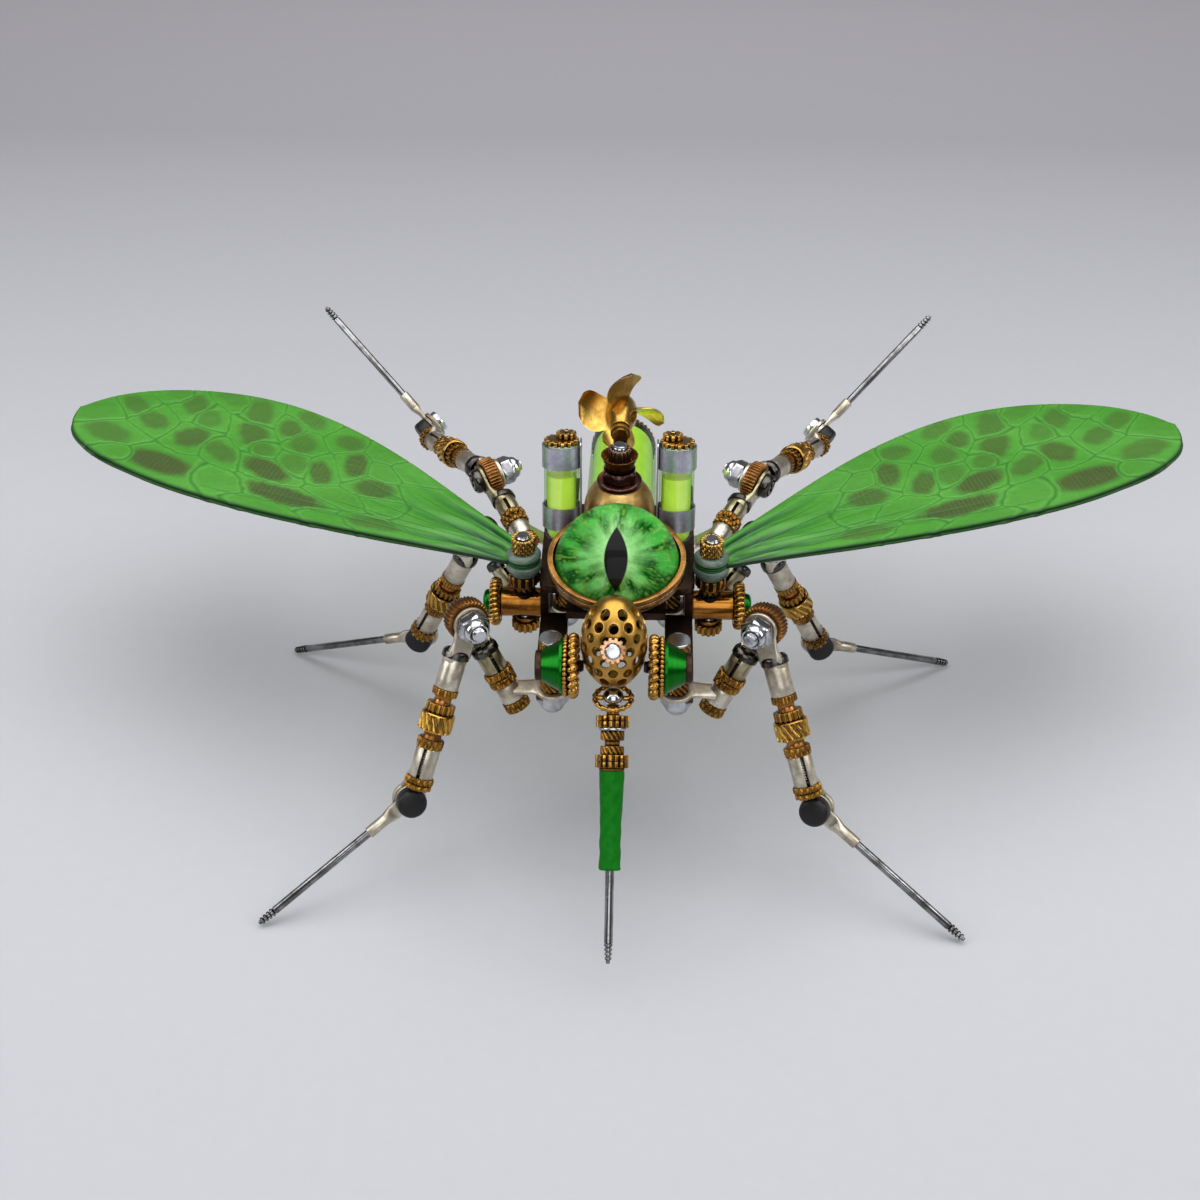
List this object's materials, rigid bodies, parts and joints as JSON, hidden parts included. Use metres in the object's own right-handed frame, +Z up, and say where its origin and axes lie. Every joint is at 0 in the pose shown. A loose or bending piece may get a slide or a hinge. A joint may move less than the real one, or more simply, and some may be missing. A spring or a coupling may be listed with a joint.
{
  "type": "mechanical mosquito model kit",
  "caption": "Articulated mechanical mosquito built from crimp lugs, knurled brass collars, glass vials, a slit-pupil glass eye and green printed sheet wings, with posable legs.",
  "frame": {"origin": "middle of the footprint box on the floor plane under the trunk", "axes": "+Z up, head toward -Y, +X toward the right wing as seen from the front (the insect's left)"},
  "size_m": [0.2428, 0.1563, 0.0788],
  "materials": {
    "lug_steel": "dull tin-plated crimp lug steel",
    "aged_brass": "aged brass with dark recesses",
    "spring_bar_steel": "polished dark spring-bar steel, black cap on the ankle",
    "dark_frame": "dark brown oxidised metal",
    "dark_screw": "zinc-plated screws and cap nuts",
    "bronze": "brown bronze",
    "cat_eye_glass": "domed glass over a green printed slit-pupil iris",
    "clear_glass": "clear glass",
    "green_liquid": "bright yellow-green liquid",
    "spring_steel": "blue-grey spring steel",
    "grommet": "grey-green translucent rubber",
    "wing_sheet": "printed green translucent sheet",
    "green_anodised": "green anodised aluminium with dark end rings",
    "shrink_sleeve": "green heat-shrink sleeve"
  },
  "bodies": {
    "trunk": {"chassis": "dark_frame", "hip_spacers": "aged_brass", "hip_screws": "dark_screw", "eye_bezel": "bronze", "eye_cabochon": "cat_eye_glass", "bell_dome": "bronze", "dome_nuts": "aged_brass", "propeller_mast": "dark_frame", "glass_vials": "clear_glass", "vial_liquid": "green_liquid", "vial_clips": "spring_steel", "vial_gears": "aged_brass", "abdomen_glass": "clear_glass", "abdomen_liquid": "green_liquid", "abdomen_caps": "aged_brass", "cross_tubes": "aged_brass", "side_gears": "aged_brass", "wing_posts": "aged_brass", "wing_grommets": "grommet", "head_shell": "aged_brass", "head_screw": "aged_brass", "compound_eyes": "green_anodised", "eye_rings": "aged_brass", "nose_socket": "aged_brass"},
    "front_left_femur": {"front_left_femur_lugs": "lug_steel", "front_left_femur_collars": "aged_brass"},
    "front_left_tibia": {"front_left_tibia_lugs": "lug_steel", "front_left_tibia_collars": "aged_brass"},
    "front_left_tarsus": {"front_left_tarsus": "spring_bar_steel"},
    "front_right_femur": {"front_right_femur_lugs": "lug_steel", "front_right_femur_collars": "aged_brass"},
    "front_right_tibia": {"front_right_tibia_lugs": "lug_steel", "front_right_tibia_collars": "aged_brass"},
    "front_right_tarsus": {"front_right_tarsus": "spring_bar_steel"},
    "middle_left_femur": {"middle_left_femur_lugs": "lug_steel", "middle_left_femur_collars": "aged_brass"},
    "middle_left_tibia": {"middle_left_tibia_lugs": "lug_steel", "middle_left_tibia_collars": "aged_brass"},
    "middle_left_tarsus": {"middle_left_tarsus": "spring_bar_steel"},
    "middle_right_femur": {"middle_right_femur_lugs": "lug_steel", "middle_right_femur_collars": "aged_brass"},
    "middle_right_tibia": {"middle_right_tibia_lugs": "lug_steel", "middle_right_tibia_collars": "aged_brass"},
    "middle_right_tarsus": {"middle_right_tarsus": "spring_bar_steel"},
    "hind_left_femur": {"hind_left_femur_lugs": "lug_steel", "hind_left_femur_collars": "aged_brass"},
    "hind_left_tibia": {"hind_left_tibia_lugs": "lug_steel", "hind_left_tibia_collars": "aged_brass"},
    "hind_left_tarsus": {"hind_left_tarsus": "spring_bar_steel"},
    "hind_right_femur": {"hind_right_femur_lugs": "lug_steel", "hind_right_femur_collars": "aged_brass"},
    "hind_right_tibia": {"hind_right_tibia_lugs": "lug_steel", "hind_right_tibia_collars": "aged_brass"},
    "hind_right_tarsus": {"hind_right_tarsus": "spring_bar_steel"},
    "left_wing": {"left_wing": "wing_sheet"},
    "right_wing": {"right_wing": "wing_sheet"},
    "propeller": {"propeller": "bronze"},
    "proboscis": {"proboscis_collars": "aged_brass", "proboscis_sleeve": "shrink_sleeve", "proboscis_needle": "spring_bar_steel"}
  },
  "joints": [
    {"name": "front_left_hip", "type": "hinge", "parent": "trunk", "child": "front_left_femur", "pos_m": [-0.012, -0.0353, 0.0379], "axis": [0, 0, 1], "range_deg": [-8, 12]},
    {"name": "front_left_knee", "type": "hinge", "parent": "front_left_femur", "child": "front_left_tibia", "pos_m": [-0.0283, -0.031, 0.0511], "axis": [-0.452, 0.8839, -0.1205], "range_deg": [-1, 28]},
    {"name": "front_left_ankle", "type": "hinge", "parent": "front_left_tibia", "child": "front_left_tarsus", "pos_m": [-0.03945, -0.04608, 0.01823], "axis": [-0.3153, 0.8717, -0.3752], "range_deg": [-25, 25]},
    {"name": "front_right_hip", "type": "hinge", "parent": "trunk", "child": "front_right_femur", "pos_m": [0.012, -0.0353, 0.0379], "axis": [0, 0, -1], "range_deg": [-8, 12]},
    {"name": "front_right_knee", "type": "hinge", "parent": "front_right_femur", "child": "front_right_tibia", "pos_m": [0.0283, -0.031, 0.0511], "axis": [-0.452, -0.8839, 0.1205], "range_deg": [-1, 28]},
    {"name": "front_right_ankle", "type": "hinge", "parent": "front_right_tibia", "child": "front_right_tarsus", "pos_m": [0.03945, -0.04608, 0.01823], "axis": [-0.3153, -0.8717, 0.3752], "range_deg": [-25, 25]},
    {"name": "middle_left_hip", "type": "hinge", "parent": "trunk", "child": "middle_left_femur", "pos_m": [-0.0105, -0.0079, 0.0379], "axis": [0, 0, 1], "range_deg": [-10, 10]},
    {"name": "middle_left_knee", "type": "hinge", "parent": "middle_left_femur", "child": "middle_left_tibia", "pos_m": [-0.029, 0.0009, 0.0486], "axis": [0.5514, 0.8321, -0.0602], "range_deg": [-12, 20]},
    {"name": "middle_left_ankle", "type": "hinge", "parent": "middle_left_tibia", "child": "middle_left_tarsus", "pos_m": [-0.04358, 0.00974, 0.01542], "axis": [0.3419, 0.9396, 0.0187], "range_deg": [-25, 25]},
    {"name": "middle_right_hip", "type": "hinge", "parent": "trunk", "child": "middle_right_femur", "pos_m": [0.0105, -0.0079, 0.0379], "axis": [0, 0, -1], "range_deg": [-10, 10]},
    {"name": "middle_right_knee", "type": "hinge", "parent": "middle_right_femur", "child": "middle_right_tibia", "pos_m": [0.029, 0.0009, 0.0486], "axis": [0.5514, -0.8321, 0.0602], "range_deg": [-12, 20]},
    {"name": "middle_right_ankle", "type": "hinge", "parent": "middle_right_tibia", "child": "middle_right_tarsus", "pos_m": [0.04358, 0.00974, 0.01542], "axis": [0.3419, -0.9396, -0.0187], "range_deg": [-25, 25]},
    {"name": "hind_left_hip", "type": "hinge", "parent": "trunk", "child": "hind_left_femur", "pos_m": [-0.0126, 0.0151, 0.0379], "axis": [0, 0, 1], "range_deg": [-8, 8]},
    {"name": "hind_left_knee", "type": "hinge", "parent": "hind_left_femur", "child": "hind_left_tibia", "pos_m": [-0.029, 0.0289, 0.045], "axis": [0.8739, 0.4621, 0.1507], "range_deg": [-20, 20]},
    {"name": "hind_left_ankle", "type": "hinge", "parent": "hind_left_tibia", "child": "hind_left_tarsus", "pos_m": [-0.04599, 0.06226, 0.03746], "axis": [0.7165, 0.5444, 0.4362], "range_deg": [-30, 30]},
    {"name": "hind_right_hip", "type": "hinge", "parent": "trunk", "child": "hind_right_femur", "pos_m": [0.0126, 0.0151, 0.0379], "axis": [0, 0, -1], "range_deg": [-8, 8]},
    {"name": "hind_right_knee", "type": "hinge", "parent": "hind_right_femur", "child": "hind_right_tibia", "pos_m": [0.029, 0.0289, 0.045], "axis": [0.8739, -0.4621, -0.1507], "range_deg": [-20, 20]},
    {"name": "hind_right_ankle", "type": "hinge", "parent": "hind_right_tibia", "child": "hind_right_tarsus", "pos_m": [0.04599, 0.06226, 0.03746], "axis": [0.7165, -0.5444, -0.4362], "range_deg": [-30, 30]},
    {"name": "left_wing_swing", "type": "hinge", "parent": "trunk", "child": "left_wing", "pos_m": [-0.0183, -0.0159, 0.0546], "axis": [0, 0, -1], "range_deg": [-15, 8]},
    {"name": "right_wing_swing", "type": "hinge", "parent": "trunk", "child": "right_wing", "pos_m": [0.0183, -0.0159, 0.0546], "axis": [0, 0, 1], "range_deg": [-15, 8]},
    {"name": "propeller_spin", "type": "hinge", "parent": "trunk", "child": "propeller", "pos_m": [0, 0.0147, 0.07], "axis": [0, 1, 0], "continuous": true},
    {"name": "proboscis_tilt", "type": "hinge", "parent": "trunk", "child": "proboscis", "pos_m": [0, -0.0465, 0.0452], "axis": [1, 0, 0], "range_deg": [-5, 12]}
  ]
}
